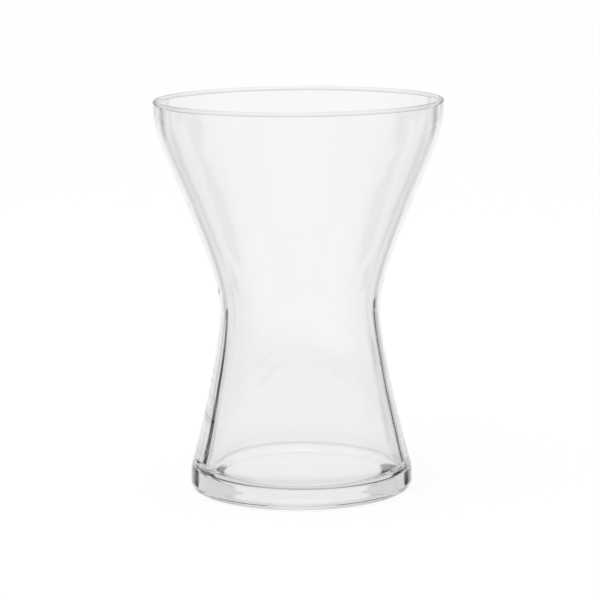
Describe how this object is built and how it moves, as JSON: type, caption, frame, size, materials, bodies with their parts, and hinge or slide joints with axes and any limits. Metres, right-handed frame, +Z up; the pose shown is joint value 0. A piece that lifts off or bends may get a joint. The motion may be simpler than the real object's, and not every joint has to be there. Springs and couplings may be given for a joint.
{
  "type": "glass vase",
  "caption": "Clear glass flower vase, round, with a flared mouth, a narrow waist and a heavy flat foot; holds water and stems.",
  "frame": {"origin": "centre of the circle that the vase stands on", "axes": "+Z up along the vase's axis, out of the mouth; X and Y free, because the vase is round"},
  "size_m": [0.147, 0.147, 0.2],
  "materials": {
    "clear_glass": "polished clear glass"
  },
  "bodies": {
    "root": {"heavy_foot": "clear_glass", "waisted_wall": "clear_glass", "rounded_lip": "clear_glass"}
  },
  "joints": []
}
